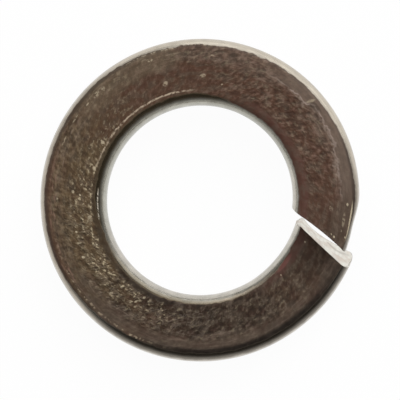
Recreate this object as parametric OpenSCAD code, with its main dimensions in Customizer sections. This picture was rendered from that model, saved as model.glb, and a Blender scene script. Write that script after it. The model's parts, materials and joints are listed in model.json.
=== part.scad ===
// Spring lock washer: one turn of keystone spring-steel wire, coiled left-handed for a
// right-hand thread, with both ends sheared at a slant so that they bite. One solid.
// Millimetres. +Z is the bolt's axis, the lowest corner of the coil is at Z = 0,
// and angles run counter-clockwise from +X as seen from above.

/* [Ring] */
// Diameter of the bore, which passes the bolt
bore_d = 10.5; // [8:0.1:14]
// Radial width of the wire's section
wire_b = 3.7; // [2.6:0.1:5]
// Thickness of the wire's section halfway across its width
wire_s = 2.2; // [1.6:0.1:3]
// How much thicker the section is at the bore than at the rim
keystone = 0.14; // [0:0.02:0.4]
// Width of the rolled edges at the bore
edge_in = 0.7; // [0.2:0.05:0.8]
// Width of the rolled edges at the rim
edge_out = 0.55; // [0.2:0.05:0.8]
// How many times taller than wide the rolled edges are
edge_tall = 1.25; // [1:0.05:1.4]

/* [Coil] */
// Overall height of the relaxed washer
free_h = 4.6; // [3.4:0.1:6]
// Direction in which the gap lies, halfway across the width
gap_angle = -16; // [-180:1:180]
// Opening between the two sheared faces, along the coil
gap_w = 0.8; // [0.4:0.05:2]

/* [Sheared ends] */
// Slant of the low end's cut from the radial line, seen from above
slant_low = 21; // [0:1:30]
// Slant of the raised tip's cut from the radial line, seen from above
slant_tip = 24; // [0:1:30]
// How far the lower edge of each sheared face runs ahead of its upper edge
cut_lean = 0.66; // [0:0.02:0.8]
// Depth of the hollow along each biting edge
bite_hollow = 0.1; // [0:0.01:0.15]
// How far the raised tip is drawn in at the rim
tip_draw = 0.18; // [0:0.02:0.5]
// Length of the drawn-in tip along the coil
tip_length = 5; // [0.5:0.1:8]
// How far the low end stands out from the true circle at the bore
flare_bore = 0.26; // [0:0.02:0.4]
// How far the low end stands out from the true circle at the rim
flare_rim = 0.14; // [0:0.02:0.3]
// Length of the flared end along the coil
flare_length = 5.4; // [1:0.2:8]

/* [Hidden] */

steel_colour = [0.33, 0.27, 0.22];

// Facets: around the coil, around a rolled edge, and across a flat of the section
COIL_STEPS = 110;
EDGE_STEPS = 5;
FLAT_STEPS = 5;
BORE_FN = 180;
// The rolled edge at the bore stops short of upright, and runs straight on through the bore's
// wall, so that the bore is cut cleanly at a real edge
BORE_EDGE_END = 72;
BORE_OVERLAP = 0.06;
CUTTER_H = 3 * free_h;
// The largest share of the thickness that one rolled edge takes up
ROLL_SHARE = 0.4;
// How sharply an end's own change of radius grows towards the cut
END_CURVE = 1.5;

bore_r = bore_d / 2;
mid_r = bore_r + wire_b / 2;
inner_s = wire_s + keystone / 2;
face_fall = keystone / 2 / wire_b;
roll_limit = wire_s * ROLL_SHARE;

// An arc length at the middle of the width, as an angle in degrees
function turned(length) = length / mid_r * 180 / PI;

// Height of the section's upper face, carried on over the edges, this far from the bore's wall
function face_height(x) = inner_s / 2 - face_fall * x;
// A rolled edge is part of an ellipse, which leaves the face smoothly and ends upright
function roll_height(width) = min(width * edge_tall, roll_limit);
function roll_drop(width, turn) = roll_height(width) * (1 - cos(turn));

// Upper half of the section, from the bore to the rim: [distance from the bore's wall, height]
bore_roll = [for (i = [0:EDGE_STEPS])
    let (turn = BORE_EDGE_END * (1 - i / EDGE_STEPS), x = edge_in * (1 - sin(turn)))
    [x, face_height(x) - roll_drop(edge_in, turn)]];
run_on = bore_roll[0].x + BORE_OVERLAP;
run_slope = roll_height(edge_in) / edge_in * tan(BORE_EDGE_END);
bore_side = [-BORE_OVERLAP, bore_roll[0].y - run_on * run_slope];
rim_roll = [for (i = [0:EDGE_STEPS])
    let (turn = 90 * i / EDGE_STEPS, x = wire_b - edge_out * (1 - sin(turn)))
    [x, face_height(x) - roll_drop(edge_out, turn)]];
flat_start = bore_roll[EDGE_STEPS];
flat = [for (i = [1:FLAT_STEPS - 1]) flat_start + (rim_roll[0] - flat_start) * i / FLAT_STEPS];
upper_half = concat([bore_side], bore_roll, flat, rim_roll);
HALF = len(upper_half);
section = concat(upper_half, [for (i = [HALF - 1:-1:0]) [upper_half[i].x, -upper_half[i].y]]);
AROUND = len(section);

// A cut that crosses the width as a straight line, slanted from the radial line
function slanted(p, slant) = asin(mid_r * sin(slant) / (bore_r + p.x)) - slant;
function leaning(p) = -turned(cut_lean) * p.y / wire_s;
function hollowed(p, side) =
    turned(bite_hollow) * sin(180 * max(0, p.x) / wire_b) * (0.5 + side * p.y / wire_s);

// Where each sheared face lies round the coil, at a point of the section
function low_face(p) =
    gap_angle - turned(gap_w) / 2 + slanted(p, slant_low) + leaning(p) - hollowed(p, -1);
function tip_face(p) =
    gap_angle + turned(gap_w) / 2 + slanted(p, slant_tip) + leaning(p) + hollowed(p, 1) - 360;

// The rise of the coil in one full turn gives the washer its overall height
low_edge = low_face([flat_start.x, -flat_start.y]);
tip_edge = tip_face(flat_start);
lead = 360 * (free_h - 2 * flat_start.y) / (low_edge - tip_edge);

// How much of an end's own change of radius is left at this distance from it
function eased(distance, length) = pow(max(0, 1 - distance / length), END_CURVE);

// A point of the section at a step of the coil, counted from the low end
function coil_point(p, step) =
    let (
        part = step / COIL_STEPS,
        angle = low_face(p) + (tip_face(p) - low_face(p)) * part,
        turn_length = 2 * PI * mid_r - gap_w,
        tip = eased(turn_length * (1 - part), tip_length),
        low = eased(turn_length * part, flare_length),
        across = max(0, p.x) / wire_b,
        out = low * (flare_bore + (flare_rim - flare_bore) * across) - tip * tip_draw * across,
        r = bore_r + p.x * (p.x < 0 ? 1 - low : 1) + out
    )
    [r * cos(angle), r * sin(angle), lead * (low_edge - angle) / 360 + p.y];

points = [for (step = [0:COIL_STEPS], p = section) coil_point(p, step)];
lowest = min([for (p = section) coil_point(p, 0).z]);

function at(step, i) = step * AROUND + i % AROUND;
sides = [for (step = [0:COIL_STEPS - 1], i = [0:AROUND - 1], half = [0, 1])
    half == 0
        ? [at(step, i), at(step, i + 1), at(step + 1, i + 1)]
        : [at(step, i), at(step + 1, i + 1), at(step + 1, i)]];

// A sheared face, as strips between the section's upper and lower halves
function face(step, order) = [for (i = [0:HALF - 2], half = [0, 1])
    let (
        above = at(step, i),
        above_next = at(step, i + 1),
        below = at(step, AROUND - 1 - i),
        below_next = at(step, AROUND - 2 - i),
        tri = half == 0 ? [above, below_next, above_next] : [above, below, below_next]
    )
    order > 0 ? tri : [tri[2], tri[1], tri[0]]];

module coil() {
    translate([0, 0, -lowest])
        polyhedron(points = points, faces = concat(sides, face(0, 1), face(COIL_STEPS, -1)));
}

module spring_lock_washer() {
    color(steel_colour)
        difference() {
            coil();
            rotate(gap_angle)
                translate([0, 0, -CUTTER_H / 2])
                    cylinder(r = bore_r, h = CUTTER_H, $fn = BORE_FN);
        }
}

spring_lock_washer();
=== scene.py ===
import itertools
import json
import math

import bpy
import numpy as np
from mathutils import Matrix, Vector

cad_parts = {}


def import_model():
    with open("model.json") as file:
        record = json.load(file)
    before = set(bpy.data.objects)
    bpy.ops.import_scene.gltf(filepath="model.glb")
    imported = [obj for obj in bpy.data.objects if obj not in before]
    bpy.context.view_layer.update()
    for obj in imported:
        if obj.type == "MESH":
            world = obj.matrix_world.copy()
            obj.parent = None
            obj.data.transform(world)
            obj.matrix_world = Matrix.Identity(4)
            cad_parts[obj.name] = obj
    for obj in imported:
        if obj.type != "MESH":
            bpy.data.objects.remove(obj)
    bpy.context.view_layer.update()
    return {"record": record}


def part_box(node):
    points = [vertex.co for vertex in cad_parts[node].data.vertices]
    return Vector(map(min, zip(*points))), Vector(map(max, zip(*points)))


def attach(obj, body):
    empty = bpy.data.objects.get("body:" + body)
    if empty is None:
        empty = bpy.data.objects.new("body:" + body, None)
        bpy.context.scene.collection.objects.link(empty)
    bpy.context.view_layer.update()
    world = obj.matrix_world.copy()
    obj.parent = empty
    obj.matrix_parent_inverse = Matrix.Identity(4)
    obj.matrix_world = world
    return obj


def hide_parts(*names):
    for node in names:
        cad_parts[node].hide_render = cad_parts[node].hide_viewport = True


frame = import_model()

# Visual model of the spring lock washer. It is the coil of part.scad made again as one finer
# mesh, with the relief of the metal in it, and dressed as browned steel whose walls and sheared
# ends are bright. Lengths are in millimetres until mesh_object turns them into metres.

MM = 0.001

# --- The coil, as in the CAD source ----------------------------------------------------------
BORE = next(m for m in frame["record"]["mounts"] if m["name"] == "bore")
LOW_CORNER, HIGH_CORNER = (np.array(corner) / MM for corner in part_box("spring_lock_washer"))
BORE_R = BORE["dims"]["r_mm"]
RIM_R = (HIGH_CORNER - LOW_CORNER)[1] / 2
FREE_H = 4.6
WIRE_B = RIM_R - BORE_R
MID_R = BORE_R + WIRE_B / 2
WIRE_S = 2.2
KEYSTONE = 0.14
EDGE_IN, EDGE_OUT, EDGE_TALL = 0.7, 0.55, 1.25
ROLL_SHARE = 0.4
GAP_ANGLE, GAP_W = -16.27, 0.8
SLANT_LOW, SLANT_TIP = 21.0, 24.5
CUT_LEAN, BITE_HOLLOW = 0.66, 0.1
END_CURVE = 1.5

# --- What a real coil adds: it isn't quite round ---------------------------------------------
# The radius grows by this much in the turn, from the tip to the low end
SPIRAL = 0.27
# The ring is this much narrower along the gap's direction and wider across it
OVAL, OVAL_TURN = 0.038, -12.0
# The low end is bent out further, at the bore and at the rim, over this length
FLARE_BORE, FLARE_RIM, FLARE_LENGTH = 0.11, 0.05, 3.6
# How the sheared faces differ from the CAD's plain ones: their lean and place, and the bite,
# the spur by the bore and the lip by the rim of the low end's torn lower edge
LEAN_LOW, FORWARD_LOW, FORWARD_TIP = 0.71, 0.09, -0.03
BITE_LOW, SPUR_LOW, RIM_AHEAD = 0.22, 0.14, 0.1
# The tip's rolled edge at the rim is squeezed in by this much, between these distances
# from the cut
PINCH, PINCH_FROM, PINCH_TO = 0.24, 1.0, 2.75
# The shear pulled back the low end's corner at the bore and pushed out the tip's
CORNER_LOW, CORNER_LOW_WIDTH = 0.31, 0.22
CORNER_TIP, CORNER_TIP_WIDTH = 0.1, 0.5
# It left the low end's lower corner at the rim almost square, over this length
SQUARED, SQUARED_LENGTH = 0.4, 0.9
# The mean radius is this much less than the CAD's, and the ring is moved, to stay in its box
ROUND_IN = 0.032
RING_MOVED = np.array([0.0, 0.066, 0.0])
# The skin stays this far inside the CAD solid, so that its relief never stands proud of it
SKIN_IN = 0.006
# How deep the skin's lumps, pits, drawn streaks and waves go, and over what length from the
# cuts they begin
LUMP_DEEP, PIT_DEEP, STREAK_DEEP, WAVE_DEEP = 0.010, 0.016, 0.004, 0.008
RELIEF_BEGINS = 0.12
# How deep the sheared faces' marks, torn steel and step are, and how near the edge they begin
MARK_DEEP, TORN_DEEP, TORN_STEP = 0.006, 0.009, 0.012
DENT_BEGINS = 0.15

# --- The mesh --------------------------------------------------------------------------------
COIL_STEPS = 740
ROLL_STEPS, WALL_STEPS, FLAT_STEPS = 9, 8, 32
PATCH_STEPS = 5
# The sheared edges are worn to this radius
WORN_EDGE = 0.022
WORN_STEPS = 3


def turned(length):
    """An arc length at the middle of the width, as an angle in degrees."""
    return length / MID_R * 180 / math.pi


def face_height(x):
    """Height of the section's upper face, carried on over the edges."""
    return (WIRE_S + KEYSTONE / 2) / 2 - KEYSTONE / 2 / WIRE_B * x


def rolled_edge(width, wall, outward):
    """Points of a rolled edge, from the flat to the wall's middle."""
    tall = min(width * EDGE_TALL, WIRE_S * ROLL_SHARE)
    turns = np.linspace(0, np.pi / 2, ROLL_STEPS + 1)
    x = wall - outward * width * (1 - np.sin(turns))
    y = face_height(x) - tall * (1 - np.cos(turns))
    straight = y[-1] * (1 - 2 * np.arange(1, WALL_STEPS // 2 + 1) / WALL_STEPS)
    return np.vstack([np.column_stack([x, y]),
                      np.column_stack([np.full(len(straight), wall), straight])])


def section():
    """The wire's section as a closed loop, with its outward normals and how far each point
    has turned from the flat (0) to the wall (1). It starts at the middle of the bore's wall
    and runs over the upper face to the rim's wall and back along the lower face."""
    bore_edge = rolled_edge(EDGE_IN, 0.0, -1)
    rim_edge = rolled_edge(EDGE_OUT, WIRE_B, 1)
    share = np.linspace(0, 1, FLAT_STEPS + 1)[1:-1, None]
    flat = bore_edge[0] + (rim_edge[0] - bore_edge[0]) * share
    upper = np.vstack([bore_edge[::-1], flat, rim_edge])
    points = np.vstack([upper, upper[-2:0:-1] * (1, -1)])
    along = np.roll(points, -1, axis=0) - np.roll(points, 1, axis=0)
    normals = np.column_stack([-along[:, 1], along[:, 0]])
    normals /= np.linalg.norm(normals, axis=1, keepdims=True)
    turn = np.abs(np.degrees(np.arctan2(normals[:, 0], np.abs(normals[:, 1])))) / 90
    return points, normals, turn


SECTION, NORMALS, TURN = section()
AROUND = len(SECTION)
SIDE = ROLL_STEPS + WALL_STEPS // 2


def low_tear(x, y):
    """How far the torn lower half of the low end's face stands ahead of a plain cut."""
    share = np.clip(x / WIRE_B, 0, 1)
    bite = BITE_LOW * np.sin(np.pi * share ** 0.75)
    spur = SPUR_LOW * np.exp(-((x - 0.35) / 0.2) ** 2)
    at_rim = RIM_AHEAD * np.clip((share - 0.35) / 0.35, 0, 1)
    return (spur + at_rim - bite) * (0.5 - y / WIRE_S)


def cut_angle(points, side):
    """Where a sheared face lies round the coil. side is -1 for the low end, 1 for the tip."""
    x, y = points[:, 0], points[:, 1]
    slant = SLANT_LOW if side < 0 else SLANT_TIP
    crossing = MID_R * math.sin(math.radians(slant)) / (BORE_R + x)
    hollow = np.sin(np.pi * np.clip(x, 0, WIRE_B) / WIRE_B) * (0.5 + y / WIRE_S)
    angle = GAP_ANGLE + side * turned(GAP_W) / 2 + np.degrees(np.arcsin(crossing)) - slant
    size, width = (CORNER_LOW, CORNER_LOW_WIDTH) if side < 0 else (CORNER_TIP, CORNER_TIP_WIDTH)
    corner = turned(size) * np.exp(-(np.clip(x, 0, None) / width) ** 2)
    if side < 0:
        lean, ahead = LEAN_LOW, FORWARD_LOW + low_tear(x, y)
    else:
        lean, ahead = CUT_LEAN, FORWARD_TIP + BITE_HOLLOW * hollow
    return angle - corner + turned(ahead) - turned(lean) * y / WIRE_S


TOP_FLAT = SECTION[SIDE]
LOW_EDGE = cut_angle(TOP_FLAT[None] * (1, -1), -1)[0]
TIP_EDGE = cut_angle(TOP_FLAT[None], 1)[0] - 360
LEAD = 360 * (FREE_H - 2 * TOP_FLAT[1]) / (LOW_EDGE - TIP_EDGE)
TURN_LENGTH = 2 * math.pi * MID_R - GAP_W


def eased(distance, length):
    return np.clip(1 - distance / length, 0, 1) ** END_CURVE


def squared(x, y, amount):
    """The lower rolled edge at the rim, made squarer by an amount from 0 to 1."""
    share = np.clip((x - (WIRE_B - EDGE_OUT)) / EDGE_OUT, 0, 1)
    power = 1 - amount * (1 - SQUARED)
    wider = WIRE_B - EDGE_OUT * (1 - share ** power)
    return np.where((y < 0) & (share > 0) & (share < 0.98), np.minimum(wider, WIRE_B), x)


def coil_points(points, from_low, from_tip):
    """Places in space of section points whose distances from the two cuts are given."""
    x, y = points[:, 0], points[:, 1]
    low_face = cut_angle(points, -1)
    tip_face = cut_angle(points, 1) - 360
    part = from_low / (from_low + from_tip)
    angle = low_face + (tip_face - low_face) * part
    x = squared(x, y, eased(from_low, SQUARED_LENGTH))
    at_roll = np.clip((x - (WIRE_B - EDGE_OUT)) / EDGE_OUT, 0, 1)
    near = np.clip((PINCH_TO - from_tip) / (PINCH_TO - PINCH_FROM), 0, 1)
    x = x - PINCH * at_roll * near * near * (3 - 2 * near)
    low = eased(from_low, FLARE_LENGTH)
    flare = low * (FLARE_BORE + (FLARE_RIM - FLARE_BORE) * np.clip(x, 0, WIRE_B) / WIRE_B)
    oval = -OVAL * np.cos(np.radians(2 * (angle - GAP_ANGLE - OVAL_TURN)))
    r = BORE_R + x + SPIRAL * (0.5 - part) + oval + flare - ROUND_IN
    a = np.radians(angle)
    z = LEAD * (LOW_EDGE - angle) / 360 + y
    return np.column_stack([r * np.cos(a), r * np.sin(a), z]) + RING_MOVED


NOISE_CELLS = 48


def smooth_noise(places, size, seed):
    """Repeatable noise from -1 to 1 whose lumps are about size across."""
    table = np.random.default_rng(seed).uniform(-1, 1, (NOISE_CELLS,) * 3)
    p = places / size
    low = np.floor(p).astype(int)
    f = p - low
    f = f * f * (3 - 2 * f)
    total = np.zeros(len(places))
    for corner in itertools.product((0, 1), repeat=3):
        at = (low + corner) % NOISE_CELLS
        weight = np.prod(np.where(corner, f, 1 - f), axis=1)
        total += weight * table[at[:, 0], at[:, 1], at[:, 2]]
    return total


def relief(places, uncoiled, turn):
    """How far the skin sinks below the true form, from 0 up."""
    flat = np.clip(1 - turn * 2.5, 0, 1)
    lumps = 0.5 + 0.35 * smooth_noise(places, 0.22, 1) + 0.15 * smooth_noise(places, 0.11, 2)
    pits = np.clip(smooth_noise(places, 0.34, 3) - 0.45, 0, 1) / 0.55
    streaks = 0.5 + 0.5 * smooth_noise(uncoiled * (0.18, 1, 1), 0.16, 4)
    waves = 0.5 + 0.5 * smooth_noise(places, 1.3, 5)
    return flat * (LUMP_DEEP * lumps + PIT_DEEP * pits) + STREAK_DEEP * streaks + WAVE_DEEP * waves


def strip(first, second):
    """Quads between two equal rows of vertex numbers."""
    return np.stack([first[:-1], first[1:], second[1:], second[:-1]], axis=-1).reshape(-1, 4)


def end_rings():
    """(distance from the cut, inset) of the rings that round a worn edge, towards the cut."""
    rings = []
    for i in range(WORN_STEPS + 1):
        turn = math.pi / 2 * i / WORN_STEPS
        rings.append((WORN_EDGE * (1 - math.sin(turn)), WORN_EDGE * (1 - math.cos(turn))))
    rings.append((0.0, 2 * WORN_EDGE))
    return rings


def coil_rings():
    """(distance from the low cut, distance from the tip's cut, inset) of every ring."""
    ends = end_rings()
    body = np.linspace(WORN_EDGE, TURN_LENGTH - WORN_EDGE, COIL_STEPS + 1)[1:-1]
    rings = [(d, TURN_LENGTH - d, inset) for d, inset in ends[::-1]]
    rings += [(d, TURN_LENGTH - d, 0.0) for d in body]
    rings += [(TURN_LENGTH - d, d, inset) for d, inset in ends]
    return rings


def sheared_face(ring_points):
    """Section points inside a sheared face, and the rows of vertex numbers that cover it.
    Numbers below AROUND are the ring's own, and the rest are the new points."""
    rows_tall = 2 * SIDE
    loop = np.arange(AROUND)
    top_start, top_end = SIDE, SIDE + FLAT_STEPS
    low_end, low_start = top_end + rows_tall, AROUND - SIDE
    extra, quads = [], []

    def number(points):
        first = AROUND + sum(len(e) for e in extra)
        extra.append(points)
        return np.arange(first, first + len(points))

    def column(top, bottom):
        steps = np.linspace(0, 1, rows_tall + 1)[1:-1, None]
        inner = ring_points[top] + (ring_points[bottom] - ring_points[top]) * steps
        return np.concatenate([[top], number(inner), [bottom]])

    columns = [column(top_start + i, (low_start - i) % AROUND) for i in range(FLAT_STEPS + 1)]
    for left, right in zip(columns, columns[1:]):
        quads.append(strip(left, right))

    def place(numbers):
        every = np.vstack([ring_points] + extra)
        return every[numbers]

    bore_side = np.roll(loop, -low_start)[:rows_tall + 1][::-1]
    rim_side = np.arange(top_end, low_end + 1)
    for edge, inner, order in ((bore_side, columns[0], 1), (rim_side, columns[-1], -1)):
        before = edge
        for step in range(1, PATCH_STEPS + 1):
            if step == PATCH_STEPS:
                row = inner
            else:
                share = step / PATCH_STEPS
                mixed = place(edge) * (1 - share) + place(inner) * share
                row = np.concatenate([[inner[0]], number(mixed[1:-1]), [inner[-1]]])
            quads.append(strip(before, row) if order > 0 else strip(row, before))
            before = row
    return np.vstack(extra), np.vstack(quads)


def shear_relief(points, places, side):
    """How far a sheared face is dented along the coil: marks of the blade and torn steel."""
    y = points[:, 1] * side / WIRE_S
    marks = smooth_noise(np.column_stack([points[:, 0], points[:, 1] * 0.12, 0 * y]), 0.09, 7)
    torn = smooth_noise(places, 0.13, 8) + 0.5 * smooth_noise(places, 0.06, 9)
    border = 0.05 + 0.1 * smooth_noise(np.column_stack([points[:, 0], 0 * y, 0 * y]), 0.7, 10)
    share = np.clip((border - y) * 6 + 0.5, 0, 1)
    return MARK_DEEP * marks * (1 - share) + TORN_DEEP * torn * share + TORN_STEP * share


def ring_skin(from_low, from_tip, inset):
    """Vertices, uncoiled places, turn and cut mask of one ring of the coil."""
    at = np.full(AROUND, from_low), np.full(AROUND, from_tip)
    profile = SECTION - NORMALS * (SKIN_IN + inset)
    uncoiled = np.column_stack([at[0], SECTION])
    fade = min(1.0, min(from_low, from_tip) / RELIEF_BEGINS)
    depth = relief(coil_points(profile, *at), uncoiled, TURN) * fade
    verts = coil_points(profile - NORMALS * depth[:, None], *at)
    past_edge = inset > WORN_EDGE / 3
    return verts, uncoiled, TURN, np.full(AROUND, float(past_edge))


def end_skin(from_low, from_tip, inset, side):
    """The same for the inside of a sheared face, and the quads that cover it."""
    inner, patch = sheared_face(SECTION - NORMALS * (SKIN_IN + inset))
    at = np.full(len(inner), from_low), np.full(len(inner), from_tip)
    places = coil_points(inner, *at)
    edge_room = np.clip((WIRE_S / 2 - np.abs(inner[:, 1])) / DENT_BEGINS, 0, 1)
    dent = shear_relief(inner, places, side) * edge_room
    away = np.radians(turned(dent)) * side
    x, y, z = places.T
    verts = np.column_stack([x * np.cos(away) - y * np.sin(away),
                             x * np.sin(away) + y * np.cos(away), z])
    uncoiled = np.column_stack([at[0], inner])
    return (verts, uncoiled, np.zeros(len(inner)), np.ones(len(inner))), patch


def washer_mesh():
    """Vertices, quads, uncoiled places, turn and cut mask of the whole skin, one closed mesh."""
    rings = coil_rings()
    skins = [ring_skin(*ring) for ring in rings]
    numbers = np.arange(len(rings) * AROUND).reshape(len(rings), AROUND)
    wrapped = np.column_stack([numbers, numbers[:, 0]])
    quads = [strip(after, before) for before, after in itertools.pairwise(wrapped)]
    count = numbers.size
    for ring, side in ((0, -1), (len(rings) - 1, 1)):
        skin, patch = end_skin(*rings[ring], side)
        added = len(skin[0])
        patch = np.concatenate([numbers[ring], np.arange(count, count + added)])[patch]
        quads.append(patch if side < 0 else patch[:, ::-1])
        skins.append(skin)
        count += added
    verts, uncoiled, turn, cut = (np.concatenate(each) for each in zip(*skins))
    verts[:, 2] += LOW_CORNER[2] - verts[:, 2].min() + SKIN_IN
    return verts, np.vstack(quads), uncoiled, turn, cut


def mesh_object(name, verts, quads):
    """A smooth-shaded object. A quad that names a corner twice becomes a triangle."""
    mesh = bpy.data.meshes.new(name)
    faces = [tuple(dict.fromkeys(quad)) for quad in quads.tolist()]
    mesh.from_pydata((verts * MM).tolist(), [], faces)
    mesh.update()
    mesh.polygons.foreach_set("use_smooth", [True] * len(mesh.polygons))
    made = bpy.data.objects.new(name, mesh)
    bpy.context.scene.collection.objects.link(made)
    return made


def point_values(mesh, name, kind, values):
    attribute = mesh.attributes.new(name, kind, "POINT")
    field = "vector" if kind == "FLOAT_VECTOR" else "value"
    attribute.data.foreach_set(field, np.asarray(values, dtype=np.float32).ravel())


# --- Materials -------------------------------------------------------------------------------
class Nodes:
    """A short way to write a node tree."""

    def __init__(self, tree):
        self.tree = tree
        self.tree.nodes.clear()

    def add(self, kind, settings=None, **inputs):
        node = self.tree.nodes.new(kind)
        for key, value in (settings or {}).items():
            setattr(node, key, value)
        for key, value in inputs.items():
            self.put(node, key.replace("_", " "), value)
        return node

    def put(self, node, socket, value):
        """Links an output to a node's input, or sets the input to a constant."""
        target = node.inputs[socket]
        if isinstance(value, bpy.types.NodeSocket):
            self.tree.links.new(value, target)
        else:
            target.default_value = value

    def chain(self, node, *values):
        for i, value in enumerate(values):
            self.put(node, i, value)
        return node

    def math(self, operation, *values):
        return self.chain(self.add("ShaderNodeMath", {"operation": operation}), *values).outputs[0]

    def vector_math(self, operation, *values):
        node = self.chain(self.add("ShaderNodeVectorMath", {"operation": operation}), *values)
        return node.outputs["Value" if operation in ("DOT_PRODUCT", "LENGTH") else "Vector"]

    def added(self, first, *others):
        for other in others:
            first = self.math("ADD", first, other)
        return first

    def product(self, first, *others):
        for other in others:
            first = self.math("MULTIPLY", first, other)
        return first

    def most(self, first, *others):
        for other in others:
            first = self.math("MAXIMUM", first, other)
        return first

    def less(self, share, amount=1.0):
        """1 where share is 0, and down to 1 - amount where it is 1."""
        return self.math("SUBTRACT", 1.0, self.product(share, amount))

    def away_from(self, value, middle):
        return self.math("ABSOLUTE", self.math("SUBTRACT", value, middle))

    def ramp(self, value, low, high):
        """0 at low and beyond it, 1 at high and beyond it."""
        node = self.add("ShaderNodeMapRange", {"interpolation_type": "SMOOTHSTEP"}, Value=value)
        self.put(node, "From Min", low)
        self.put(node, "From Max", high)
        return node.outputs[0]

    def attribute(self, name, output):
        return self.add("ShaderNodeAttribute", {"attribute_name": name}).outputs[output]

    def stretched(self, vector, scale):
        node = self.add("ShaderNodeMapping", {"vector_type": "POINT"}, Vector=vector, Scale=scale)
        return node.outputs[0]

    def noise(self, vector, scale, detail=2.0, roughness=0.5):
        node = self.add("ShaderNodeTexNoise", Vector=vector, Scale=scale, Detail=detail,
                        Roughness=roughness)
        return node.outputs["Fac"]

    def swing(self, value, amount):
        """A noise value as a number that swings about 0 by about this amount."""
        return self.math("MULTIPLY", self.math("SUBTRACT", value, 0.5), 2 * amount)

    def parts(self, vector):
        return self.add("ShaderNodeSeparateXYZ", Vector=vector).outputs

    def brighter(self, colour, factor):
        node = self.add("ShaderNodeVectorMath", {"operation": "SCALE"}, Vector=colour, Scale=factor)
        return node.outputs["Vector"]

    def mix(self, factor, first, second):
        node = self.add("ShaderNodeMix", {"data_type": "RGBA"})
        for socket, value in ((0, factor), (6, first), (7, second)):
            self.put(node, socket, value)
        return node.outputs[2]

    def mix_value(self, factor, first, second):
        node = self.add("ShaderNodeMix", {"data_type": "FLOAT"})
        for socket, value in ((0, factor), (2, first), (3, second)):
            self.put(node, socket, value)
        return node.outputs[0]

    def painted(self, tone, colour, *shares):
        """A tone with another screen colour over it, where the shares' product is above 0."""
        return self.mix(self.product(*shares), tone, srgb(*colour))

    def mix_shader(self, factor, first, second):
        mixed = self.chain(self.add("ShaderNodeMixShader"), factor, first.outputs[0],
                           second.outputs[0])
        return mixed

    def finish(self, shader, output="ShaderNodeOutputMaterial"):
        self.tree.links.new(shader.outputs[0], self.add(output).inputs["Surface"])


def blank_material(name):
    material = bpy.data.materials.new(name)
    material.use_nodes = True
    return material


def srgb(red, green, blue):
    """A colour from 0-255 screen values, as the linear numbers that a socket takes."""
    def linear(c):
        c /= 255
        return c / 12.92 if c <= 0.04045 else ((c + 0.055) / 1.055) ** 2.4
    return (linear(red), linear(green), linear(blue), 1.0)


def along(compass, across):
    """How far along the wire, from the low end, its upper face lies in a compass direction
    from +X, this far from the bore's wall."""
    spot = np.array([[across, face_height(across)]])
    low, tip = cut_angle(spot, -1)[0], cut_angle(spot, 1)[0] - 360
    return (low - compass) % 360 / (low - tip) * TURN_LENGTH


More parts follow.
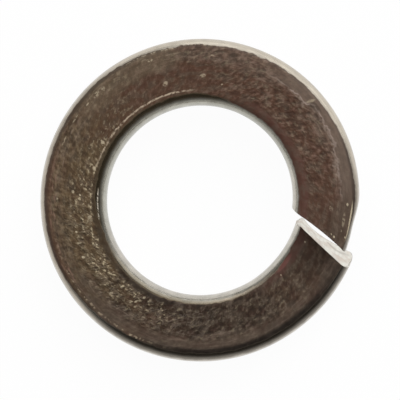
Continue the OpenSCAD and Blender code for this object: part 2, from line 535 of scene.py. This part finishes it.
class Skin(Nodes):
    """Node values that say where on the washer a point of its skin is, the noises that its
    oxide and wear follow, and the areas that more than one of them uses."""

    def __init__(self, tree):
        super().__init__(tree)
        here = self.add("ShaderNodeTexCoord").outputs["Object"]
        self.here = self.stretched(here, (1 / MM,) * 3)
        self.place = self.attribute("uncoiled", "Vector")
        self.turn = self.attribute("turn", "Fac")
        place = self.parts(self.place)
        self.across = place["Y"]
        self.upper = self.ramp(place["Z"], -0.2, 0.2)
        self.outward = self.vector_math(
            "NORMALIZE", self.vector_math("MULTIPLY", self.here, (1.0, 1.0, 0.0)))
        self.bore_half = self.ramp(self.across, WIRE_B / 2 + 0.1, WIRE_B / 2 - 0.1)
        self.rim_half = self.less(self.bore_half)

        self.broad = self.noise(self.here, 0.5, 3.0, 0.6)
        self.middle = self.noise(self.here, 2.0, 2.0, 0.6)
        self.grit = self.noise(self.here, 8.0, 2.0, 0.6)
        self.patches = self.drawn_noise((1.5, 2.6, 2.6), 1.0, 3.0, 0.55)
        self.peel = self.drawn_noise((4.6, 3.9, 3.9), 1.0, 2.0, 0.55)
        self.drawn = self.drawn_noise((1.1, 6.5, 6.5), 1.0, 3.0, 0.65)
        self.specks = self.drawn_noise((3.6, 5.2, 5.2), 1.2, 2.0, 0.55)
        self.dots = self.drawn_noise((7.0, 2.0, 2.0), 1.0)

        drift = self.swing(self.broad, 0.8)
        self.olive = self.ramp(self.added(self.toward(196), drift), 0.1, 0.95)
        self.dark = self.ramp(self.added(self.toward(288), drift), 0.25, 0.85)
        self.by_rim = self.ramp(self.added(self.across, drift), 2.1, 2.6)
        smooth_edge = self.added(self.across, self.swing(self.middle, 0.2))
        self.smooth = self.product(self.ramp(smooth_edge, 1.0, 0.75), self.facing(8, 0.3, 0.7))
        self.rough = self.rough_share()

        off_ridge = self.away_from(self.drawn_noise((2.9, 1.7, 1.7), 1.0, 2.0, 0.45), 0.5)
        wrinkled = self.product(self.facing(228, 0.4, 0.9), self.ramp(self.across, 2.7, 2.1),
                                self.ramp(self.patches, 0.4, 0.55), self.rough,
                                self.ramp(self.across, 0.75, 1.0))
        # Painted highlights on the tops of the wrinkles, and the slopes that the bump takes
        self.ridge_highlights = self.product(self.ramp(off_ridge, 0.055, 0.01), wrinkled)
        self.ridge_slopes = self.product(self.ramp(off_ridge, 0.1, 0.0), wrinkled)

    def drawn_noise(self, stretch, scale, detail=2.0, roughness=0.5):
        """A noise that runs along the wire, with this much detail per mm along and across."""
        return self.noise(self.stretched(self.place, stretch), scale, detail, roughness)

    def rough_share(self):
        """Where the oxide is rough: on the flats, and less beside the bore, by the gap, on the
        far side and in the drawn band along the near rim."""
        far_side = self.product(self.facing(118, 0.6, 0.95), self.ramp(self.across, 2.6, 2.1))
        by_bore = self.product(self.ramp(self.across, 0.9, 0.7), self.facing(205, 0.5, 0.85))
        quiet = self.most(self.product(far_side, 0.45), self.product(by_bore, 0.7))
        band_edge = self.added(self.across, self.swing(self.middle, 0.25))
        drawn_band = self.product(self.ramp(band_edge, 2.35, 2.6), self.facing(262, 0.3, 0.8))
        return self.product(self.ramp(self.turn, 0.45, 0.1), self.less(self.smooth, 0.8),
                            self.less(self.facing(-14, 0.85, 0.97), 0.5), self.less(quiet),
                            self.less(drawn_band, 0.6))

    def toward(self, compass):
        """1 in this direction from the axis, 0 across it and -1 opposite."""
        a = math.radians(compass)
        return self.vector_math("DOT_PRODUCT", self.outward, (math.cos(a), math.sin(a), 0.0))

    def facing(self, compass, low, high):
        """0 where toward() is at low and 1 where it is at high."""
        return self.ramp(self.toward(compass), low, high)

    def line(self, across, width, wobble):
        """A thin line along the wire's upper face, this far from the bore's wall."""
        off = self.away_from(self.added(self.across, wobble), across)
        return self.product(self.ramp(off, width / 2, width / 5), self.upper)

    def mark(self, compass, across, length, width):
        """A small oval mark on the wire's upper face."""
        middle = (along(compass, across), across, 0.0)
        shifted = self.vector_math("SUBTRACT", self.place, middle)
        scaled = self.vector_math("MULTIPLY", shifted, (2 / length, 2 / width, 0.0))
        return self.product(self.ramp(self.vector_math("LENGTH", scaled), 1.0, 0.5), self.upper)


def oxide(s):
    """The oxide's colour, reddish by the tip and olive on the far side; darker by the low end."""
    tone = s.mix(s.olive, srgb(78, 53, 39), srgb(88, 71, 50))
    tone = s.painted(tone, (52, 39, 29), s.dark)
    tone = s.painted(tone, (74, 54, 40), s.facing(-38, 0.93, 0.98), 0.5)
    tone = s.painted(tone, (86, 56, 48), s.smooth, 0.6)
    lighter = s.math("SUBTRACT", 0.45, s.product(s.facing(165, 0.3, 0.9), 0.3))
    tone = s.painted(tone, (104, 87, 74), s.by_rim, lighter)
    tone = s.painted(tone, (90, 78, 66), s.ramp(s.patches, 0.42, 0.62), 0.4)
    tone = s.painted(tone, (72, 50, 42), s.ramp(s.patches, 0.45, 0.3), 0.35)
    tone = s.painted(tone, (120, 103, 90), s.ramp(s.drawn, 0.5, 0.68), s.by_rim, 0.4)
    return tone


def grain_and_painted_light(s, tone):
    """Grain where the oxide is rough, its light and dark spots partly the oxide's own tone and
    partly painted shade and highlights of its relief, and painted highlights on the ridges of its
    wrinkles.
    """
    grain = s.added(s.swing(s.peel, 1.0), s.swing(s.drawn, 0.4), s.swing(s.middle, 0.5))
    tone = s.brighter(tone, s.most(s.added(1.0, s.product(grain, s.rough)), 0.6))
    lit = s.product(s.ramp(s.peel, 0.5, 0.74), s.rough, 0.4)
    lit = s.most(lit, s.product(s.ridge_highlights, 0.4))
    lit_tone = s.mix(s.olive, srgb(126, 106, 94), srgb(132, 117, 92))
    lit_tone = s.painted(lit_tone, (112, 100, 88), s.dark)
    return s.mix(lit, tone, lit_tone)


def glint_flecked(s, tone):
    """Painted glints as light flecks, thickest near the bore on the far side."""
    by_bore = s.product(s.facing(190, 0.2, 0.85), s.ramp(s.across, 2.4, 1.3))
    upper_left = s.product(s.facing(122, 0.88, 0.97), s.ramp(s.across, 2.0, 2.5))
    share = s.most(s.added(0.16, s.product(by_bore, 0.84)), s.product(upper_left, 0.22))
    tone = s.painted(tone, (104, 90, 71), upper_left, 0.5)
    return s.painted(tone, (182, 166, 136), s.ramp(s.specks, 0.52, 0.68), share, s.rough,
                     s.ramp(s.patches, 0.38, 0.56), s.ramp(s.across, 0.66, 0.84))


def burnished_strip(s, tone):
    """A burnished strip by the rim near the tip, with a ragged pale border that steps outward
    42 degrees round from +X and comes back by 15. Returns the tone and the strip's share."""
    by_tip = s.facing(22, 0.72, 0.9)
    stepped_out = s.product(s.facing(-48, 0.0, 0.03), s.facing(-75, 0.0, -0.2))
    start = s.added(2.66, s.product(stepped_out, 0.25))
    inside = s.math("SUBTRACT", s.added(s.across, s.swing(s.middle, 0.28)), start)
    by_end = s.facing(-88, -0.08, 0.08)
    strip = s.product(by_tip, s.ramp(inside, -0.05, 0.07), s.upper)
    strip_tone = s.mix(by_end, srgb(108, 92, 80), srgb(84, 69, 57))
    strip_tone = s.brighter(strip_tone, s.added(1.0, s.swing(s.drawn, 0.3)))
    tone = s.mix(s.product(strip, 0.7), tone, strip_tone)
    ragged = s.product(by_tip, s.ramp(inside, -0.3, -0.08), s.ramp(inside, 0.12, 0.0),
                       s.ramp(s.patches, 0.38, 0.6), s.ramp(s.specks, 0.35, 0.6))
    crisp = s.product(by_tip, s.ramp(s.math("ABSOLUTE", inside), 0.06, 0.02),
                      s.ramp(s.patches, 0.36, 0.46))
    tone = s.painted(tone, (138, 121, 110), s.most(ragged, crisp), s.upper, s.less(by_end), 0.75)
    # Darker by the tip's corner, and beyond the step
    tone = s.painted(tone, (66, 51, 39), s.mark(347.5, 2.5, 1.9, 1.4), 0.35)
    tone = s.painted(tone, (66, 54, 44), s.mark(38.9, 2.95, 0.9, 0.5), 0.6)
    return tone, strip


# Pale nicks on the upper face: compass direction, distance from the bore's wall, length,
# width and how clear it is
NICKS = [
    # By the tip
    (344.8, 2.4, 0.13, 0.11, 0.75), (344.1, 2.58, 0.14, 0.14, 0.85),
    (347.2, 2.87, 0.12, 0.12, 0.8), (351.4, 2.9, 0.9, 0.2, 0.35), (357.8, 3.02, 0.2, 0.16, 0.8),
    (355.8, 2.13, 0.3, 0.26, 0.25), (345, 3.2, 0.14, 0.18, 0.9),
    (41.6, 2.98, 0.2, 0.6, 0.4),
    # On the far side
    (79.5, 1.25, 0.16, 0.12, 0.5), (89, 1.64, 0.42, 0.26, 0.48), (85.5, 2.78, 0.3, 0.1, 0.4),
    (107, 1.5, 0.42, 0.34, 0.5), (110, 2.97, 0.34, 0.16, 0.5), (131.5, 2.97, 0.3, 0.3, 0.4),
    (134.8, 3.0, 0.5, 0.34, 0.45), (140, 3.0, 0.24, 0.1, 0.6), (143, 0.91, 0.3, 0.14, 0.8),
    (150, 1.1, 0.36, 0.36, 0.8), (147.4, 3.07, 0.6, 0.1, 0.45), (157, 3.04, 0.6, 0.1, 0.45),
    (164, 0.96, 0.34, 0.26, 0.8), (176.6, 1.88, 0.26, 0.2, 0.6), (178, 1.49, 0.16, 0.14, 0.75),
    (180, 2.72, 0.28, 0.14, 0.6), (189.5, 1.0, 0.5, 0.3, 0.5), (194.7, 1.88, 0.15, 0.15, 0.9),
    (194.2, 1.47, 0.14, 0.14, 0.7), (199.8, 1.9, 0.12, 0.26, 0.7),
    (203, 1.1, 0.34, 0.3, 0.6), (206.2, 2.0, 0.2, 0.2, 0.8),
    # On the lower left and by the low end
    (226.2, 1.9, 0.16, 0.26, 0.6), (228.1, 1.24, 0.26, 0.2, 0.6), (237.6, 1.39, 0.16, 0.26, 0.6),
    (240, 0.97, 0.2, 0.2, 0.6), (242.5, 3.15, 0.15, 0.15, 0.7), (245, 3.15, 0.13, 0.13, 0.7),
    (316.4, 0.82, 0.13, 0.13, 0.75), (337.6, 0.85, 0.15, 0.13, 0.8)]

# Nicks longer than this are broken up more by the grit
LONG_NICK = 0.25


def nicked(s, tone):
    broken = {False: s.ramp(s.grit, 0.32, 0.5), True: s.ramp(s.grit, 0.4, 0.54)}
    for compass, across, length, width, clear in NICKS:
        nick = s.mark(compass, across, length, width)
        tone = s.painted(tone, (195, 180, 152), nick, broken[length > LONG_NICK], clear)
    return tone


def edge_lines(s, tone):
    """A painted highlight where the face ends above the bore with painted shade below it, bright
    lines by the rim, and what lies by them.
    """
    # Painted shade below the bore's line, then the line itself as a painted highlight
    shade_below_line = s.product(s.ramp(s.across, 0.92, 0.76), s.facing(200, 0.4, 0.75))
    tone = s.brighter(tone, s.less(shade_below_line, 0.42))
    tone = s.painted(tone, (194, 176, 152), s.line(0.87, 0.13, s.swing(s.middle, 0.1)),
                     s.facing(128, 0.8, 0.9), s.ramp(s.specks, 0.3, 0.55), 0.8)
    beads = s.ramp(s.dots, 0.48, 0.6)
    tone = s.painted(tone, (168, 150, 126), s.line(3.12, 0.12, s.swing(s.middle, 0.12)),
                     s.facing(225, 0.8, 0.95), beads, 0.7)
    # Reddish along the rim on the left, with flecks of its own
    tone = s.painted(tone, (92, 63, 50), s.ramp(s.across, 2.9, 3.2), s.facing(186, 0.86, 0.96),
                     s.upper, 0.5)
    tone = s.painted(tone, (150, 116, 100), s.line(3.05, 0.6, s.swing(s.middle, 0.3)),
                     s.ramp(s.drawn, 0.52, 0.62), s.facing(190, 0.86, 0.96), 0.45)
    # Painted highlights by the rim at the top, and along the tip's corner
    tone = s.painted(tone, (190, 175, 150), s.line(3.33, 0.08, s.swing(s.middle, 0.16)),
                     s.ramp(beads, 0.0, 0.5), s.facing(101, 0.93, 0.98), 0.6)
    return s.painted(tone, (240, 222, 190), s.mark(351.2, 3.31, 2.3, 0.17),
                     s.ramp(s.specks, 0.32, 0.42), 0.9)


def frayed_turn(s):
    """How far the skin has turned from the flat to the wall, with a ragged edge."""
    wavy_top = s.product(s.rim_half, s.facing(95, 0.75, 0.9))
    fraying = s.product(s.swing(s.middle, 0.1), s.ramp(s.turn, 0.0, 0.15), s.added(1.0, wavy_top))
    return s.added(s.turn, fraying)


def bare_share(s, frayed, left_rim):
    """Bare metal: the walls everywhere, the rolled edges where they are polished, and more of them
    where they face the light, as painted light.
    """
    polished = s.most(s.product(s.bore_half, s.facing(135, 0.3, 0.75)),
                      s.product(s.rim_half, s.facing(282, 0.2, 0.8)))
    # Painted light: more bare metal where the rolled edges face the light
    facing_light = s.most(s.product(s.bore_half, s.facing(262, 0.3, 0.7)),
                          s.product(s.rim_half, s.facing(62, 0.3, 1.0)))
    wear_and_light = s.most(s.product(polished, 0.37), s.product(facing_light, 0.21))
    wear_and_light = s.added(wear_and_light, s.product(s.bore_half, s.facing(232, 0.88, 0.97), 0.04))
    bared = s.added(frayed, wear_and_light, s.product(s.bore_half, 0.08), s.product(left_rim, 0.05))
    return s.ramp(bared, 0.45, 0.56)


def shaded_rim_edges(s, tone, leftward, left_rim):
    """Painted shade on the oxide towards the rim and on its rolled edge."""
    amount = s.added(0.3, s.product(leftward, 0.15), s.product(s.facing(2, 0.9, 0.97), 0.2))
    rolled = s.product(s.rim_half, s.ramp(s.turn, 0.08, 0.3), amount, s.less(left_rim, 0.45))
    tone = s.brighter(tone, s.less(rolled))
    near_rim = s.product(s.ramp(s.across, 2.5, 2.75), s.most(
        s.product(s.facing(235, 0.4, 0.7), 0.09), s.product(s.facing(0, 0.9, 0.96), 0.09),
        s.product(s.facing(316, 0.88, 0.97), 0.22)))
    tone = s.brighter(tone, s.less(near_rim))
    # Painted shade along the rim at the bottom
    shade_at_bottom_rim = s.product(s.facing(290, 0.6, 0.95), s.ramp(s.across, 2.84, 3.1))
    return s.brighter(tone, s.less(shade_at_bottom_rim, 0.8))


def rim_metal(s, frayed, leftward):
    """The bare metal's colour at the rim, with painted light and shade: bright where it faces
    the light and darker elsewhere.
    """
    shady = s.mix(s.facing(285, -0.2, 0.7), srgb(158, 148, 134), srgb(122, 116, 107))
    shady = s.painted(shady, (100, 92, 80), s.facing(285, 0.5, 0.9), s.ramp(frayed, 0.42, 0.25))
    shady = s.painted(shady, (180, 171, 157), leftward, 0.8)
    unlit_tone = s.mix(s.ramp(frayed, 0.55, 0.85), shady, srgb(196, 190, 180))
    return s.painted(unlit_tone, (201, 192, 177), s.facing(68, 0.3, 0.8))


def bore_metal(s, frayed):
    """The bare metal's colour in the bore: brownish above, painted lighter where light falls on it
    and darker away from it, with a painted light band where the near side's rolled edge begins."""
    tone = s.mix(s.ramp(frayed, 0.2, 0.42), srgb(128, 113, 90), srgb(158, 154, 142))
    tone = s.painted(tone, (181, 179, 169), s.ramp(frayed, 0.4, 0.62))
    lit = s.most(s.facing(262, 0.2, 0.7), s.facing(-6, 0.85, 0.98))
    tone = s.painted(tone, (197, 192, 182), s.ramp(frayed, 0.36, 0.55), lit)
    # Painted shade where the bore's wall faces away from the light
    tone = s.brighter(tone, s.less(s.facing(58, 0.8, 0.97), 0.13))
    # A painted light band where the rolled edge begins on the side facing the light
    lit_band = s.math("SUBTRACT", s.facing(262, 0.45, 0.75), s.product(s.facing(277, 0.9, 0.98), 0.4))
    lit_band = s.product(s.ramp(frayed, 0.2, 0.29), s.ramp(frayed, 0.46, 0.36), lit_band)
    tan = s.mix(s.facing(320, 0.5, 0.95), srgb(168, 159, 142), srgb(222, 207, 186))
    return s.mix(lit_band, tone, tan)


def browned_steel():
    """The skin of the coil: brown oxide on the faces, worn to bright steel on the walls."""
    material = blank_material("browned_steel")
    s = Skin(material.node_tree)
    tone = glint_flecked(s, grain_and_painted_light(s, oxide(s)))
    tone = s.painted(tone, (132, 78, 72), s.mark(322.2, 0.53, 1.9, 0.34), 0.35)
    tone, burnished = burnished_strip(s, tone)
    tone = edge_lines(s, nicked(s, tone))
    leftward = s.facing(168, 0.3, 0.8)
    left_rim = s.product(s.rim_half, s.facing(188, 0.7, 0.86))
    tone = shaded_rim_edges(s, tone, leftward, left_rim)

    frayed = frayed_turn(s)
    bare = bare_share(s, frayed, left_rim)
    metal = s.mix(s.bore_half, rim_metal(s, frayed, leftward), bore_metal(s, frayed))
    stains = s.drawn_noise((1.6, 3.0, 1.2), 1.0, 3.0, 0.6)
    scratches = s.drawn_noise((0.5, 9.0, 9.0), 1.0, 3.0, 0.7)
    uneven = s.added(1.0, s.added(s.swing(stains, 0.3), s.swing(scratches, 0.2)))
    colour = s.mix(bare, tone, s.brighter(metal, uneven))
    # A row of bright dashes inside the bore, at the left
    dashes = s.product(s.line(0.5, 0.1, 0.0), s.facing(182, 0.985, 0.995),
                       s.ramp(s.dots, 0.36, 0.54))
    colour = s.painted(colour, (200, 192, 178), dashes, 0.8)

    height = s.added(s.product(s.peel, 0.7), s.product(s.drawn, 0.35),
                     s.product(s.ridge_slopes, 0.5))
    strength = s.mix_value(bare, s.mix_value(burnished, s.rough, 0.25), 0.06)
    bump = s.add("ShaderNodeBump", Strength=1.0, Distance=0.06 * MM,
                 Height=s.product(height, strength))
    shader = s.add("ShaderNodeBsdfPrincipled", Base_Color=colour, Normal=bump.outputs["Normal"],
                   Metallic=s.product(bare, s.less(dashes)))
    s.put(shader, "Specular IOR Level", s.mix_value(bare, 0.36, 0.5))
    s.put(shader, "Roughness", s.mix_value(bare, s.mix_value(s.peel, 0.42, 0.6),
                                           s.mix_value(s.drawn, 0.2, 0.36)))
    s.finish(shader)
    return material


def sheared_steel():
    """The two cut faces: bare steel, smeared by the blade above and torn below."""
    material = blank_material("sheared_steel")
    n = Nodes(material.node_tree)
    here = n.stretched(n.add("ShaderNodeTexCoord").outputs["Object"], (1 / MM,) * 3)
    wire = n.attribute("uncoiled", "Vector")
    marks = n.noise(n.stretched(wire, (1.0, 6.0, 0.8)), 1.0, 3.0, 0.6)
    grain = n.noise(here, 9.0, 3.0, 0.6)
    broad = n.noise(here, 1.6, 2.0, 0.5)
    tone = n.mix(n.ramp(broad, 0.35, 0.65), srgb(226, 216, 204), srgb(243, 241, 232))
    tone = n.painted(tone, (206, 200, 192), n.ramp(marks, 0.4, 0.75), 0.4)
    # A grey arc where the tear turns down towards the rim
    from_centre = n.vector_math("SUBTRACT", wire, (0.0, 2.65, -0.85))
    curved = n.vector_math("LENGTH", n.vector_math("MULTIPLY", from_centre, (0.0, 1.0, 1.0)))
    arc = n.product(n.ramp(n.away_from(curved, 0.6), 0.2, 0.02),
                    n.ramp(n.parts(wire)["Z"], -0.75, -0.4))
    tone = n.painted(tone, (180, 173, 164), arc, 0.5)
    bump = n.add("ShaderNodeBump", Strength=1.0, Distance=0.01 * MM,
                 Height=n.added(n.product(marks, 0.6), grain))
    n.finish(n.add("ShaderNodeBsdfPrincipled", Base_Color=tone, Metallic=1.0,
                   Roughness=n.mix_value(grain, 0.38, 0.6), Normal=bump.outputs["Normal"]))
    return material


# --- The washer ------------------------------------------------------------------------------
def washer():
    verts, quads, uncoiled, turn, cut = washer_mesh()
    made = mesh_object("spring_lock_washer_steel", verts, quads)
    point_values(made.data, "uncoiled", "FLOAT_VECTOR", uncoiled)
    point_values(made.data, "turn", "FLOAT", turn)
    made.data.materials.append(browned_steel())
    made.data.materials.append(sheared_steel())
    sheared = cut[quads].min(axis=1) > 0.5
    made.data.polygons.foreach_set("material_index", sheared.astype(np.int32))
    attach(made, "root")
    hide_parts("spring_lock_washer")


# --- Floor, light and camera -----------------------------------------------------------------
FLOOR_SIDE = 3.0
FLOOR_GAP = 0.05
# The share of the floor that isn't plain white to the camera, and so shows the shadow
KEEP_SHADOW = 0.035
WHITE = (1, 1, 1, 1)
PAPER = (0.95, 0.95, 0.95, 1)
# What the washer sees of the room, above and at the horizon
ZENITH_LIGHT, HORIZON_LIGHT = 0.1, 0.7
CAMERA_AWAY = 0.30
CAMERA_LEAN = (0.4, -0.37)
CAMERA_AIM = (-0.053, 0.025)
VIEW_WIDTH = 22.2 * MM


def floor():
    """A plain white floor that keeps a soft shadow, and isn't seen from underneath."""
    half = FLOOR_SIDE / 2 / MM
    z = LOW_CORNER[2] - FLOOR_GAP
    corners = np.array([(-half, -half, z), (half, -half, z), (half, half, z), (-half, half, z)])
    made = mesh_object("floor", corners, np.array([[0, 1, 2, 3]]))
    material = blank_material("floor_white")
    n = Nodes(material.node_tree)
    rays = n.add("ShaderNodeLightPath").outputs
    seen = n.most(rays["Is Camera Ray"], rays["Is Glossy Ray"], rays["Is Transmission Ray"])
    shown = n.mix_shader(n.product(seen, 1 - KEEP_SHADOW),
                         n.add("ShaderNodeBsdfDiffuse", Color=PAPER),
                         n.add("ShaderNodeEmission", Color=WHITE, Strength=1.0))
    below = n.add("ShaderNodeNewGeometry").outputs["Backfacing"]
    n.finish(n.mix_shader(below, shown, n.add("ShaderNodeBsdfTransparent")))
    made.data.materials.append(material)


def world():
    """White where the camera looks past the floor. The washer sees a dim room with a pale
    horizon."""
    made = bpy.data.worlds.new("studio")
    bpy.context.scene.world = made
    made.use_nodes = True
    n = Nodes(made.node_tree)
    height = n.parts(n.add("ShaderNodeTexCoord").outputs["Generated"])["Z"]
    low = n.less(n.math("ABSOLUTE", height))
    glow = n.product(n.math("POWER", low, 3.0), HORIZON_LIGHT)
    room = n.add("ShaderNodeBackground", Color=WHITE, Strength=n.added(glow, ZENITH_LIGHT))
    white = n.add("ShaderNodeBackground", Color=WHITE, Strength=1.0)
    seen = n.add("ShaderNodeLightPath").outputs["Is Camera Ray"]
    n.finish(n.mix_shader(seen, room, white), "ShaderNodeOutputWorld")


def softbox(name, azimuth, elevation, distance, width, height, radiance, mirrored=True):
    """An area lamp aimed at the washer, from a compass direction counted from +X."""
    a, e = math.radians(azimuth), math.radians(elevation)
    lamp = bpy.data.lights.new(name, "AREA")
    lamp.shape = "RECTANGLE"
    lamp.size, lamp.size_y = width, height
    lamp.energy = radiance * math.pi * width * height
    made = bpy.data.objects.new(name, lamp)
    bpy.context.scene.collection.objects.link(made)
    away = Vector((math.cos(a) * math.cos(e), math.sin(a) * math.cos(e), math.sin(e)))
    made.location = away * distance
    made.rotation_euler = away.to_track_quat("Z", "Y").to_euler()
    made.visible_glossy = mirrored
    made.visible_camera = False


def camera():
    """A long lens high above the washer, leaning a little towards +X and -Y."""
    lens = bpy.data.cameras.new("camera")
    made = bpy.data.objects.new("camera", lens)
    bpy.context.scene.collection.objects.link(made)
    aim = Vector((*CAMERA_AIM, FREE_H / 2)) * MM
    away = Vector([math.tan(math.radians(lean)) for lean in CAMERA_LEAN] + [1]).normalized()
    made.location = aim + away * CAMERA_AWAY
    right = Vector((0, 1, 0)).cross(away).normalized()
    made.rotation_euler = Matrix((right, away.cross(right), away)).transposed().to_euler()
    lens.sensor_width = 36
    lens.lens = lens.sensor_width / 2 / (VIEW_WIDTH / 2 / CAMERA_AWAY)
    lens.clip_start, lens.clip_end = 0.01, 20
    bpy.context.scene.camera = made


washer()
floor()
world()
softbox("key", 65, 26, 0.4, 0.62, 0.36, 0.84)
softbox("fill", 75, 55, 0.5, 0.5, 0.5, 3.25, mirrored=False)
camera()
bpy.context.scene.view_settings.view_transform = "Standard"
